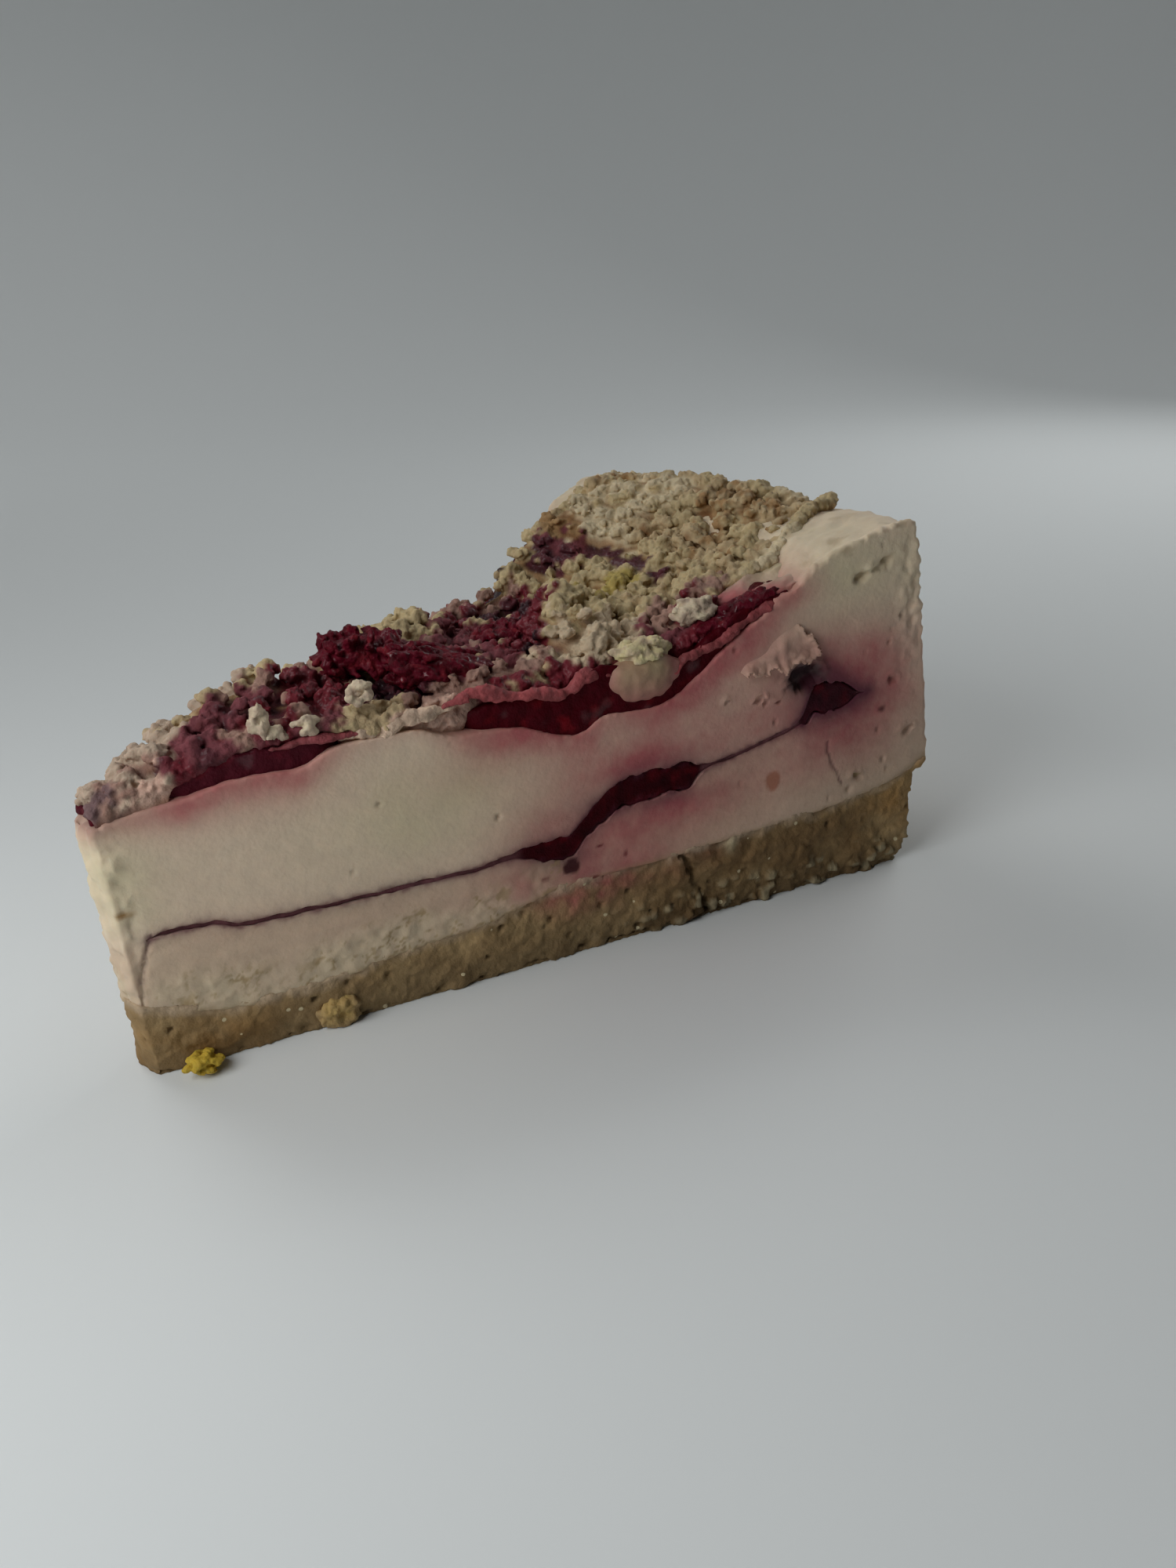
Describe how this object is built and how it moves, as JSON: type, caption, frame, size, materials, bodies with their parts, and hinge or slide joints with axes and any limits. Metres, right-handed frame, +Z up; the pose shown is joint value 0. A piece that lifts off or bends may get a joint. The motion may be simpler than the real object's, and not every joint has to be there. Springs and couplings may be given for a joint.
{
  "type": "strawberry crumb cheesecake slice",
  "caption": "Wedge of baked cheesecake on a thick biscuit crust, with a dark strawberry seam inside and strawberry sauce, fruit and pale crumbs on top.",
  "frame": {"origin": "on the flat underside of the crust, 62 mm from the cake's axis towards the rim and midway between the two cut faces", "axes": "+X from the blunt tip to the rim along the middle of the slice, +Y to the far cut face, +Z up"},
  "size_m": [0.1086, 0.0656, 0.0542],
  "materials": {
    "crust": "dry and crumbly, sandy tan",
    "cream": "soft satin, pale cream",
    "sauce": "wet gloss, very dark red",
    "crumb": "dry crumbs, pale tan",
    "fruit": "moist, deep strawberry red"
  },
  "bodies": {
    "root": {"crust": "crust", "cheesecake": "cream", "strawberry_seam": "sauce", "strawberry_sauce": "sauce", "crumb_topping": "crumb", "cream_lump": "cream", "strawberry_piece_1": "fruit", "strawberry_piece_2": "fruit", "strawberry_piece_3": "fruit", "strawberry_piece_4": "fruit"}
  },
  "joints": []
}
